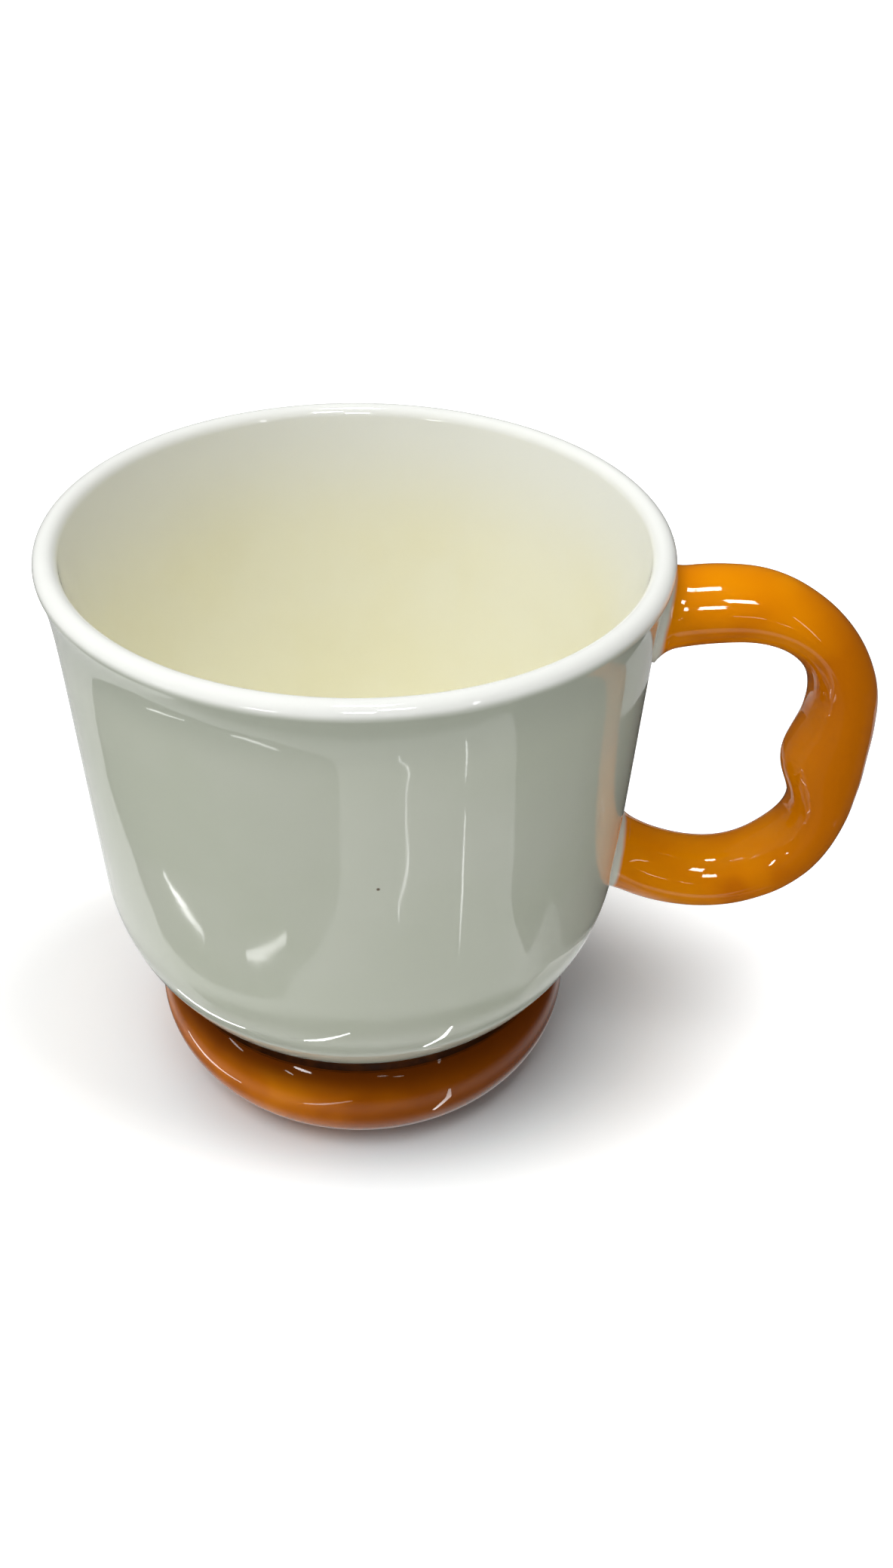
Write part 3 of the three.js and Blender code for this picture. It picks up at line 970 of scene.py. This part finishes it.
@dataclass(frozen=True)
class Straight:
    """Part of a line that goes straight down."""

    top: Point
    length: float

    def at(self, distance: np.ndarray) -> tuple[np.ndarray, np.ndarray]:
        """Places at distances from the top, and unit vectors that point away from the bowl."""
        points = np.stack([np.full_like(distance, self.top[0]), self.top[1] - distance], axis=1)
        return points, np.tile([1.0, 0.0], (len(distance), 1))


@dataclass
class Handle:
    """Ear-shaped handle with its finger grooves, its ridge and the slip round its two ends."""

    bowl: Bowl
    swept: Shape
    drop: float = 10.7 * MM
    span: float = 56.5 * MM
    standoff: float = 34.9 * MM
    corner: float = 19.3 * MM
    upper_sweep: float = 44 * MM
    lower_sweep: float = 29 * MM
    upper_turn: float = 0.43
    lower_turn: float = 0.73
    thickness: float = 12.5 * MM
    width: float = 14 * MM
    upper_groove: float = 2.8 * MM
    upper_groove_length: float = 21 * MM
    lower_groove: float = 1.5 * MM
    lower_groove_length: float = 11.4 * MM
    lower_groove_shift: float = 5.4 * MM
    ridge: float = 2 * MM
    ridge_length: float = 9.3 * MM
    ridge_drop: float = 0.7 * MM
    upper_flare: float = 1.6 * MM
    lower_flare: float = 0.4 * MM
    flare_length: float = 4 * MM
    slip_end: float = 2.1 * MM
    wall_sink: float = 0.15 * MM
    collar_share: float = 0.14
    station_step: float = 0.6 * MM
    section_steps: int = 72
    lump_size: float = 13 * MM
    lump_height: float = 0.5 * MM
    seed: float = 4.0
    glaze: AmberGlaze = field(default_factory=lambda: AmberGlaze("amber_glaze"))
    collar_glaze: AmberGlaze = field(default_factory=lambda: AmberGlaze("collar_glaze"))

    def __post_init__(self) -> None:
        """Lays out the middle line and the helper solids that cut the ends."""
        column = self.bowl.belly_radius + self.standoff
        beside = column - self.corner
        top = self.bowl.top - self.drop
        bottom = top - self.span
        upper = (beside, top - self.upper_sweep)
        lower = (beside, bottom + self.lower_sweep)
        self.line: list[Bend | Straight] = [
            Bend(upper, self.upper_sweep, QUARTER + self.upper_turn, QUARTER),
            Bend((beside, top - self.corner), self.corner, QUARTER, 0.0),
            Straight((column, top - self.corner), self.span - 2 * self.corner),
            Bend((beside, bottom + self.corner), self.corner, 0.0, -QUARTER),
            Bend(lower, self.lower_sweep, -QUARTER, -QUARTER - self.lower_turn),
        ]
        self.length: float = sum(part.length for part in self.line)
        self.wall: Piece = self.bowl.filled("wall_helper", -self.wall_sink)
        self.slip: Piece = self.bowl.filled("slip_helper", self.slip_end)

    def places(self, lengths: np.ndarray) -> tuple[np.ndarray, np.ndarray]:
        """Places and outward directions on the middle line, in its own plane.

        Args:
            lengths: Distances from the line's upper end.

        Returns:
            Points and unit vectors.
        """
        points, outward = np.zeros((len(lengths), 2)), np.zeros((len(lengths), 2))
        start = 0.0
        for part in self.line:
            inside = (lengths >= start - SEAM_MERGE) & (lengths <= start + part.length + SEAM_MERGE)
            points[inside], outward[inside] = part.at(lengths[inside] - start)
            start += part.length
        return points, outward

    def stations(self, start: float, end: float) -> Mesh:
        """Makes the row of stations that the section is swept along.

        Args:
            start: First distance along the middle line.
            end: Last distance along the middle line.

        Returns:
            Source mesh with the section's sizes, closed to a point at both ends.
        """
        count = round((end - start) / self.station_step)
        inner_lengths = np.linspace(start, end, count + 1)
        lengths = np.concatenate([[start], inner_lengths, [end]])
        points, outward = self.places(lengths)
        before = np.cumsum([0.0] + [part.length for part in self.line])
        upper = swelling(lengths - (before[1] + before[2]) / 2, self.upper_groove_length)
        lower = swelling(lengths - before[3] - self.lower_groove_shift, self.lower_groove_length)
        crest = swelling(lengths - (before[2] + before[3]) / 2 - self.ridge_drop, self.ridge_length)
        half = (self.thickness - self.upper_groove * upper - self.lower_groove * lower) / 2
        closed = np.ones(len(lengths))
        closed[[0, -1]] = 0
        flare = np.where(lengths < self.length / 2, self.upper_flare, self.lower_flare)
        zero = np.zeros(len(lengths))
        return line_mesh(np.stack([points[:, 0] + self.bowl.axis_x, zero, points[:, 1]], axis=1), {
            "outward": np.stack([outward[:, 0], zero, outward[:, 1]], axis=1),
            "outer_half": half * closed,
            "inner_half": (half + self.ridge * crest) * closed,
            "half_width": self.width / 2 * closed,
            "flare": flare,
        })

    def sweep(self, name: str, start: float, end: float, cut: Cut, glaze: AmberGlaze) -> Piece:
        """Sweeps one piece and cuts it to the wall.

        Args:
            name: Name of the piece.
            start: First distance along the middle line.
            end: Last distance along the middle line.
            cut: What is kept of the blank.
            glaze: Finish of the piece.

        Returns:
            The swept piece.
        """
        return self.swept.make(name, self.stations(start, end), {
            "Section Steps": self.section_steps, "Flare Length": self.flare_length,
            "Lump Size": self.lump_size, "Lump Height": self.lump_height, "Seed": self.seed,
            "Wall": self.wall, "Slip End": self.slip, "Within": cut is Cut.WITHIN,
            "Material": glaze.material(),
        })

    def build(self) -> dict[str, Piece]:
        """Builds and dresses the handle and its collars.

        Returns:
            Pieces by the node that each stands for.
        """
        reach = self.length * self.collar_share
        low = self.length - reach
        pieces = {
            "handle": self.sweep("glazed_handle", 0, self.length, Cut.BEYOND, self.glaze),
            Root.UPPER.value: self.sweep("upper_collar", 0, reach, Cut.WITHIN, self.collar_glaze),
            Root.LOWER.value: self.sweep("lower_collar", low, self.length, Cut.WITHIN, self.collar_glaze),
        }
        for helper in (self.wall, self.slip):
            bpy.data.objects.remove(helper)
        return pieces


def swelling(distance: np.ndarray, half_length: float) -> np.ndarray:
    """Smooth swelling: one at the middle, nothing from the half length on."""
    return np.cos(np.minimum(np.abs(distance) / half_length, 1) * QUARTER) ** 2


# The set that the gloss mirrors: far cards hang at one distance, with a step back for each layer.
MUG_MIDDLE = (-18.6 * MM, 0.0, 0.0)
FAR_MIDDLE = (-18.6 * MM, -40 * MM, 68 * MM)
FAR = 7.0
BEHIND = 0.5
GRAIN_SIZE = 0.2
GRAIN_NOISE = (0.2, 0.8)
GRAIN_LEVEL = (0.9, 1.0)
TAPER = (0.15, 0.85)
SQUARE = [(-1, -1), (1, -1), (1, 1), (-1, 1)]


def toward(around: Any, up: Any) -> np.ndarray:
    """Unit vectors of directions, by degrees from +X towards +Y and degrees above level."""
    turn, rise = np.radians(around), np.radians(up)
    return np.stack([np.cos(rise) * np.cos(turn), np.cos(rise) * np.sin(turn), np.sin(rise)], axis=-1)


def finer(corners: list[Point], steps: int) -> np.ndarray:
    """Points along a line of corners, each leg of it cut in equal steps.

    Args:
        corners: Corners in order.
        steps: Number of steps in each leg.

    Returns:
        Array of points.
    """
    row = np.array(corners, dtype=float)
    share = np.linspace(0, len(row) - 1, steps * (len(row) - 1) + 1)
    return np.stack([np.interp(share, np.arange(len(row)), row[:, axis]) for axis in (0, 1)], axis=1)


def taper(count: int) -> np.ndarray:
    """Share of the full width at each point of a streak, which is narrow at both ends."""
    return np.sin(np.linspace(*TAPER, count) * math.pi)[:, None]


def square(name: str, middle: Point3, half: float) -> Mesh:
    """Makes a level square.

    Args:
        name: Name of the mesh.
        middle: Middle of the square.
        half: Half of its side.

    Returns:
        The mesh.
    """
    mesh = bpy.data.meshes.new(name)
    corners = [(middle[0] + x * half, middle[1] + y * half, middle[2]) for x, y in SQUARE]
    mesh.from_pydata(corners, [], [tuple(range(len(corners)))])
    return mesh


def glow_card(name: str, points: list[Any], faces: list[Any], levels: list[float]) -> None:
    """Makes a shining card that only the gloss mirrors.

    Args:
        name: Name of the card.
        points: Its corners.
        faces: Its faces, as numbers of corners.
        levels: How brightly it shines at each corner.
    """
    mesh = bpy.data.meshes.new(name)
    mesh.from_pydata(points, [], faces)
    attribute = mesh.attributes.new(LEVEL, "FLOAT", "POINT")
    attribute.data.foreach_set("value", np.array(levels, dtype=np.float32))
    material, nodes, place = new_material(name)
    grain = nodes.ramp(nodes.noise(place, GRAIN_SIZE, detail=1.0), *GRAIN_NOISE, *GRAIN_LEVEL)
    nodes.show(nodes.glow(nodes.math("MULTIPLY", nodes.stored(LEVEL), grain)))
    mesh.materials.append(material)
    mirrored_only(placed(name, mesh))


def table_card(name: str, level: float, outline: np.ndarray, height: float) -> None:
    """Makes a shining card close over the table, by its corners in order as x and y."""
    corners = [(x, y, height) for x, y in outline.tolist()]
    glow_card(name, corners, [tuple(range(len(corners)))], [level] * len(corners))


@dataclass(frozen=True)
class FarCard:
    """A far card: a band along a line of directions, or a curtain between the line and a top."""

    name: str
    level: float
    line: list[Point]
    half: Point = (0.0, 0.0)
    top: float | None = None
    top_level: float | None = None
    layer: int = 0
    steps: int = 8

    def build(self) -> None:
        """Hangs the card, which faces the mug."""
        line = finer(self.line, self.steps)
        if self.top is None:
            half = np.array(self.half) * taper(len(line))
            edges = [line + half, line - half]
        else:
            edges = [line, np.stack([line[:, 0], np.full(len(line), self.top)], axis=1)]
        away = FAR + BEHIND * self.layer
        rows = [np.array(FAR_MIDDLE) + away * toward(edge[:, 0], edge[:, 1]) for edge in edges]
        count = len(line)
        faces = [(i, i + 1, count + i + 1, count + i) for i in range(count - 1)]
        far_level = self.level if self.top_level is None else self.top_level
        levels = [self.level] * count + [far_level] * count
        glow_card(self.name, np.concatenate(rows).tolist(), faces, levels)


@dataclass(frozen=True)
class FloorCard:
    """A shining ribbon close over the table, along a line in millimetres."""

    name: str
    level: float
    line: list[Point]
    width: float
    height: float = 0.8 * MM

    def build(self) -> None:
        """Lays the ribbon, which is narrow at both ends."""
        line = np.array(self.line, dtype=float)
        along = np.gradient(line, axis=0)
        along = along / np.linalg.norm(along, axis=1)[:, None]
        aside = np.stack([-along[:, 1], along[:, 0]], axis=1)
        half = self.width / 2 * taper(len(line))
        outline = np.concatenate([line + aside * half, (line - aside * half)[::-1]])
        table_card(self.name, self.level, outline * MM, self.height)


@dataclass(frozen=True)
class FloorPatch:
    """A painted reflection of a patch of the table, with its corners by their bearing and their millimetres
    from the mug's axis.
    """

    name: str
    level: float
    corners: list[Point]
    height: float = 0.6 * MM
    steps: int = 6

    def build(self) -> None:
        """Lays the patch."""
        bearing, reach = finer(self.corners + self.corners[:1], self.steps)[:-1].T
        outline = np.array(MUG_MIDDLE) + reach[:, None] * MM * toward(bearing, np.zeros_like(bearing))
        table_card(self.name, self.level, outline[:, :2], self.height)


def mirrored_only(piece: Piece) -> None:
    """Hides a stage piece from all rays but mirrored ones.

    Args:
        piece: Card, disc or dome.
    """
    piece.visible_camera = False
    piece.visible_diffuse = False
    piece.visible_shadow = False
    piece.visible_transmission = False


CARDS: list[FarCard | FloorCard | FloorPatch] = [
    FarCard("pale_left", 1.7, [(92, -60), (175, -60)], top=-28, top_level=0.4, layer=2),
    FarCard("pale_right", 1.1, [(16, -49), (36, -49), (58, -47.5), (80, -46)], top=-60, layer=2),
    FarCard("dark_left", 0.12, [
        (152, -38), (156, -40), (163, -43), (172, -46), (185, -48), (200, -50), (220, -51), (237, -51),
        (249, -50), (257, -49), (263, -48), (266, -46), (267, -42),
    ], top=-15, layer=1),
    FarCard("dark_right", 0.05, [
        (-15, -41), (-17, -45), (-10, -47), (-2, -48), (3, -47), (6, -45.5), (9, -45), (14, -45.5),
        (20, -46.3), (36, -47.5), (58, -46), (92, -44),
    ], top=-15, layer=1),
    FarCard("streak_long", 8.0, [(181, -43.6), (185, -44.7), (191, -45.7), (199, -47.2)], (0.0, 0.21)),
    FarCard("streak_broad", 6.0, [(220, -49.0), (226, -49.2), (233, -48.9), (241, -48.3)], (0.0, 0.4)),
    FarCard("line_near", 9.0, [
        (-67, -44), (-65, -45.2), (-66, -46.2), (-69, -47.2), (-69, -48.2),
    ], (0.4, 0.0)),
    FarCard("line_far", 9.0, [(-42, -43.5), (-41, -45.5), (-40, -48.8)], (0.35, 0.0)),
    FarCard("foot_bright", 50.0, [(-120, 4), (-111, 1.5)], (0.0, 1.6)),
    FarCard("foot_beside", 30.0, [(-124, -4), (-120, -7)], (0.0, 0.9)),
    FarCard("foot_left", 18.0, [(-156, -1), (-147, -5)], (0.0, 1.2)),
    FarCard("foot_front", 11.0, [(-79, 3), (-74, 2.6)], (0.0, 0.8)),
    FarCard("foot_front_right", 11.0, [(-71, 0), (-66, -1)], (0.0, 0.8)),
    FarCard("foot_right", 9.0, [(-45, 30), (-48, 3)], (1.2, 0.0)),
    FloorCard("streak_under_left", 9.0, [(-67, -19), (-58, -27), (-48, -37)], 1.6),
    FloorCard("streak_under", 11.0, [(-32, -48), (-27, -52), (-18, -61)], 1.8),
    FloorCard("streak_under_right", 11.0, [(0, -36), (7, -39), (13, -45)], 1.8),
    FloorPatch("table_dark", 0.04, [
        (-32, 145), (-32, 116), (-33, 104), (-32, 97), (-29, 88), (-27, 83), (-24, 84), (-20.5, 89),
        (-18, 94.5), (-15.6, 96.5), (-13, 93), (-10, 86), (-5, 78.5), (1, 71.5), (8.5, 67), (20, 67),
        (70, 67), (70, 143), (20, 143),
    ]),
    FloorPatch("table_light", 0.48, [(20, 143), (70, 143), (70, 230), (20, 230)]),
]
PANELS: dict[str, Point3] = {
    "panel_overhead": (-90, 85, 0.36),
    "panel_front": (-72, 49, 0.32),
    "panel_far": (-86, 31, 0.32),
}


@dataclass
class Studio:
    """White floor, soft light, the set that the gloss mirrors, and the camera."""

    floor_size: float = 8.0
    floor_colour: Colour = tone(243, 243, 242)
    floor_lift: Span = (0.0, 0.57)
    lift_reach: Span = (42 * MM, 84 * MM)
    lift_middle: Point3 = (-28 * MM, 1.5 * MM, 0.0)
    lift_stretch: Point3 = (0.78, 1.35, 1.0)
    # Painted: a cool tint near the foot that cancels the foot's warm bounce light.
    bounce_cancel_tint: Colour = tone(233, 240, 243)
    bounce_cancel_reach: Span = (34 * MM, 60 * MM)
    floor_grain: float = 4 * MM
    floor_noise: Span = (0.3, 0.7)
    floor_roughness: Span = (0.6, 0.75)
    dome_radius: float = 9.0
    dome_steps: tuple[int, int] = (48, 24)
    dome_level: Span = (0.06, 0.02)
    ground_level: Span = (0.05, 0.95)
    ground_side: Point3 = (0.82, 0.57, 0.0)
    ground_turn: Span = (0.5, 0.65)
    ground_dim: float = 0.3
    ground_rise: Span = (-0.68, -0.62)
    ground_sink: Span = (-0.87, -0.77)
    shade_reach: Span = (46 * MM, 76 * MM)
    shade_height: float = 0.4 * MM
    shade_level: Span = (0.7, 0.04)
    shade_inner: Span = (52 * MM, 66 * MM)
    shade_foot: Span = (43 * MM, 51 * MM)
    shade_rim: Span = (37 * MM, 42 * MM)
    shade_rim_level: float = 0.7
    shade_foot_dim: float = 0.2
    world_colour: Colour = tone(250, 251, 252)
    world_strength: Span = (0.7, 0.22)
    world_dim_side: Point3 = (0.85, -0.52, 0.0)
    key_place: Point3 = (-0.24, -0.3, 1.2)
    key_aim: Point3 = (0.0, 0.0, 0.05)
    key_size: Span = (0.9, 0.9)
    key_power: float = 11.6
    centre: Point3 = (20 * MM, 0.0, 80 * MM)
    panel_distance: float = 2.0
    panel_level: float = 34.0
    camera_place: Point3 = (1.04 * MM, -203.9 * MM, 213.8 * MM)
    camera_yaw: float = math.radians(-1.27)
    camera_pitch: float = math.radians(37.58)
    camera_roll: float = math.radians(1.78)
    focal_pixels: float = 1922.1
    photo_height: int = 2080
    sensor: float = 36.0

    def build(self) -> None:
        """Sets up the floor, the world, the lamps, the set and the camera."""
        bpy.context.scene.view_settings.view_transform = "Standard"
        self.floor()
        self.world()
        self.lamps()
        self.dome()
        self.shade()
        for card in CARDS:
            card.build()
        self.camera()

    def floor(self) -> Piece:
        """Makes the floor, which the camera sees a little lighter than it lights the mug, with a painted
        cool tint near the foot that cancels the foot's warm bounce light.

        Returns:
            The floor.
        """
        mesh = square("floor", (0.0, 0.0, 0.0), self.floor_size / 2)
        floor = placed("floor", mesh)
        floor.visible_glossy = False
        material, nodes, place = new_material("white_floor")
        grain = nodes.noise(place, self.floor_grain, detail=3.0)
        rough = nodes.ramp(grain, *self.floor_noise, *self.floor_roughness)
        # Painted cool tint near the foot, against its warm bounce light.
        near = nodes.ramp(nodes.distance(place, MUG_MIDDLE), *self.bounce_cancel_reach)
        colour = nodes.blend(near, self.bounce_cancel_tint, self.floor_colour)
        matt = {"Base Color": colour, "Roughness": rough, "Specular IOR Level": 0.0}
        paper = nodes.out("ShaderNodeBsdfPrincipled", matt)
        seen = self.seen(nodes)
        # Painted light: the glow that lifts the floor to white fades out towards the mug, off its axis and
        # stretched, and so shapes the shadow round the foot.
        away = nodes.distance(place, self.lift_middle, self.lift_stretch)
        strength = nodes.math("MULTIPLY", seen, nodes.ramp(away, *self.lift_reach, *self.floor_lift))
        lit = {0: paper, 1: nodes.glow(strength)}
        nodes.show(nodes.out("ShaderNodeAddShader", lit))
        mesh.materials.append(material)
        return floor

    def seen(self, nodes: Nodes) -> Socket:
        """Tells whether a ray comes from the camera, from a mirror or through glass.

        Args:
            nodes: Tree that asks.

        Returns:
            Socket that is 1 for those rays and 0 for light.
        """
        path = nodes.add("ShaderNodeLightPath").outputs
        mirrored = nodes.math("MAXIMUM", path["Is Glossy Ray"], path["Is Transmission Ray"])
        return nodes.math("MAXIMUM", path["Is Camera Ray"], mirrored)

    def world(self) -> None:
        """Makes the soft surrounding light, white where the camera sees it."""
        world = bpy.data.worlds.new("studio")
        world.use_nodes = True
        nodes = Nodes(world.node_tree)
        direction = nodes.add("ShaderNodeTexCoord").outputs["Generated"]
        light = nodes.ramp(nodes.dot(direction, self.world_dim_side), -1.0, 1.0, *self.world_strength)
        strength = nodes.math("MAXIMUM", light, self.seen(nodes))
        back = nodes.out("ShaderNodeBackground", {"Color": self.world_colour, "Strength": strength})
        nodes.add("ShaderNodeOutputWorld", {"Surface": back})
        bpy.context.scene.world = world

    def lamp(self, name: str, place: Point3, aim: Point3, size: Span, power: float) -> Piece:
        """Adds a rectangular lamp.

        Args:
            name: Name of the lamp.
            place: Where it hangs.
            aim: Point that it faces.
            size: Width and height.
            power: Power in watts.

        Returns:
            The lamp.
        """
        light = bpy.data.lights.new(name, "AREA")
        light.shape = "RECTANGLE"
        light.size, light.size_y = size
        light.energy = power
        lamp = placed(name, light)
        lamp.location = place
        lamp.rotation_euler = (Vector(aim) - Vector(place)).to_track_quat("-Z", "Y").to_euler()
        return lamp

    def lamps(self) -> None:
        """Hangs a large soft lamp up on the left and the small panels that show as highlights."""
        key = self.lamp("soft_top", self.key_place, self.key_aim, self.key_size, self.key_power)
        key.visible_glossy = False
        for name, (around, up, size) in PANELS.items():
            place = Vector(self.centre) + Vector(toward(around, up)) * self.panel_distance
            panel = self.lamp(name, place, self.centre, (size, size), self.panel_level * math.pi * size**2)
            panel.visible_camera = False
            panel.visible_diffuse = False

    def dome(self) -> None:
        """Sets a dim dome far round the mug that only its gloss mirrors."""
        work = bmesh.new()
        around, up = self.dome_steps
        bmesh.ops.create_uvsphere(work, u_segments=around, v_segments=up, radius=self.dome_radius)
        mesh = bpy.data.meshes.new("dim_dome")
        work.to_mesh(mesh)
        work.free()
        material, nodes, place = new_material("dim_dome")
        way = nodes.scaled(place, 1 / self.dome_radius)
        parts = nodes.parts(way)
        sky = nodes.ramp(parts["X"], -1.0, 1.0, *self.dome_level)
        low = nodes.fall(parts["Z"], *self.ground_rise)
        deep = nodes.ramp(parts["Z"], *self.ground_sink, *self.ground_level)
        side = nodes.ramp(nodes.dot(way, self.ground_side), *self.ground_turn, 1.0, self.ground_dim)
        nodes.show(nodes.glow(nodes.math("MULTIPLY_ADD", nodes.math("MULTIPLY", low, deep), side, sky)))
        mesh.materials.append(material)
        mirrored_only(placed("dim_dome", mesh))

    def shade(self) -> None:
        """Lays a mirrored disc round the foot: lit, dimmer by the foot, darker outwards, and fading out."""
        middle = (MUG_MIDDLE[0], MUG_MIDDLE[1], self.shade_height)
        mesh = square("foot_shade", middle, self.shade_reach[1])
        material, nodes, place = new_material("foot_shade")
        away = nodes.distance(place, MUG_MIDDLE)
        cover = nodes.fall(away, *self.shade_reach)
        clear = nodes.out("ShaderNodeBsdfTransparent")
        ring = nodes.ramp(away, *self.shade_inner, *self.shade_level)
        rim = nodes.ramp(away, *self.shade_rim, self.shade_rim_level, self.shade_foot_dim)
        dip = nodes.math("MAXIMUM", rim, nodes.ramp(away, *self.shade_foot, self.shade_foot_dim, 1.0))
        mixed = {0: cover, 1: clear, 2: nodes.glow(nodes.math("MULTIPLY", ring, dip))}
        nodes.show(nodes.out("ShaderNodeMixShader", mixed))
        mesh.materials.append(material)
        mirrored_only(placed("foot_shade", mesh))

    def camera(self) -> None:
        """Puts the camera at the photograph's place."""
        data = bpy.data.cameras.new("camera")
        data.sensor_width = self.sensor
        data.lens = self.focal_pixels * self.sensor / self.photo_height
        data.clip_start = MM
        camera = placed("camera", data)
        yaw, pitch, roll = self.camera_yaw, self.camera_pitch, self.camera_roll
        ahead = Vector((math.sin(yaw) * math.cos(pitch), math.cos(yaw) * math.cos(pitch), -math.sin(pitch)))
        level = Vector((math.cos(yaw), -math.sin(yaw), 0))
        upright = level.cross(ahead)
        right = level * math.cos(roll) + upright * math.sin(roll)
        up = upright * math.cos(roll) - level * math.sin(roll)
        turn = Matrix((right, up, -ahead)).transposed()
        camera.matrix_world = Matrix.Translation(self.camera_place) @ turn.to_4x4()
        bpy.context.scene.camera = camera


def settle(piece: Piece, node: str) -> None:
    """Puts a finished piece in the place of its solid.

    Args:
        piece: Finished piece.
        node: Solid that it stands for.
    """
    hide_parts(node)
    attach(piece, BODY)
    LOG.info("%s stands for %s: %d faces", piece.name, node, len(piece.data.polygons))


def main() -> None:
    """Builds the mug's pieces in order, then the studio round them."""
    logging.basicConfig(level=logging.INFO, format="%(name)s: %(message)s")
    bowl = Bowl(turned_shape())
    pieces = {"bowl": bowl.build()}
    pieces["foot_ring"], pieces["foot_slip_ring"] = Foot(bowl).build()
    pieces.update(Handle(bowl, swept_shape()).build())
    for node, piece in pieces.items():
        settle(piece, node)
    Studio().build()


if __name__ == "__main__":
    main()
